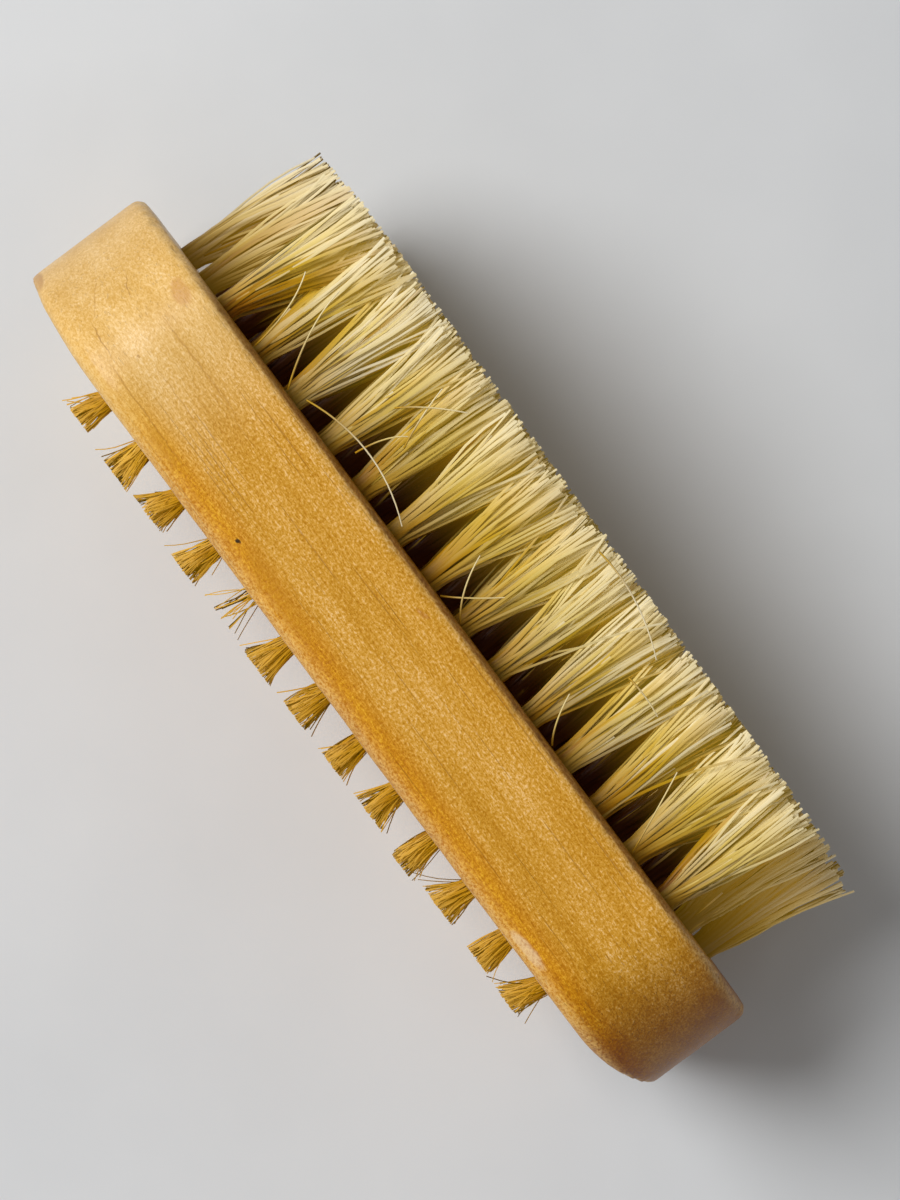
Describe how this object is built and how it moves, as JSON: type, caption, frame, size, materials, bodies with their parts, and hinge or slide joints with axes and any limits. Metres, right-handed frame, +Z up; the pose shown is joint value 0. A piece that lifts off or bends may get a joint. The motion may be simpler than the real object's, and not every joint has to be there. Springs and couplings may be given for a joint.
{
  "type": "two-sided bristle brush",
  "caption": "Hand-sized wooden grooming brush: a flat block with rounded ends, rows of long natural bristles on one face and one row of short bristles on the other.",
  "frame": {"origin": "middle of the long side wall that the brush stands on", "axes": "+X along the block, -Y the way the long bristles point, +Y the way the short bristles point, +Z up"},
  "size_m": [0.095, 0.0341, 0.04],
  "materials": {
    "wood": "satin, waxed beech",
    "long_bristle": "pale natural bristle, slightly glossy",
    "short_bristle": "golden brown natural bristle",
    "wire": "plain flat wire"
  },
  "bodies": {
    "root": {"block": "wood", "long_tuft_a01": "long_bristle", "long_tuft_a02": "long_bristle", "long_tuft_a03": "long_bristle", "long_tuft_a04": "long_bristle", "long_tuft_a05": "long_bristle", "long_tuft_a06": "long_bristle", "long_tuft_a07": "long_bristle", "long_tuft_a08": "long_bristle", "long_tuft_a09": "long_bristle", "long_tuft_a10": "long_bristle", "long_tuft_a11": "long_bristle", "long_tuft_a12": "long_bristle", "long_tuft_a13": "long_bristle", "long_tuft_a14": "long_bristle", "long_tufts_row_b": "long_bristle", "long_tufts_row_c": "long_bristle", "long_tufts_row_d": "long_bristle", "long_tuft_e01": "long_bristle", "long_tuft_e02": "long_bristle", "long_tuft_e03": "long_bristle", "long_tuft_e04": "long_bristle", "long_tuft_e05": "long_bristle", "long_tuft_e06": "long_bristle", "long_tuft_e07": "long_bristle", "long_tuft_e08": "long_bristle", "long_tuft_e09": "long_bristle", "long_tuft_e10": "long_bristle", "long_tuft_e11": "long_bristle", "long_tuft_e12": "long_bristle", "long_tuft_e13": "long_bristle", "long_tuft_e14": "long_bristle", "short_tuft_01": "short_bristle", "short_tuft_02": "short_bristle", "short_tuft_03": "short_bristle", "short_tuft_04": "short_bristle", "short_tuft_05": "short_bristle", "short_tuft_06": "short_bristle", "short_tuft_07": "short_bristle", "short_tuft_08": "short_bristle", "short_tuft_09": "short_bristle", "short_tuft_10": "short_bristle", "short_tuft_11": "short_bristle", "short_tuft_12": "short_bristle", "short_tuft_13": "short_bristle", "anchors_row_a": "wire", "anchors_row_b": "wire", "anchors_row_c": "wire", "anchors_row_d": "wire", "anchors_row_e": "wire", "anchors_short_row": "wire"}
  },
  "joints": []
}
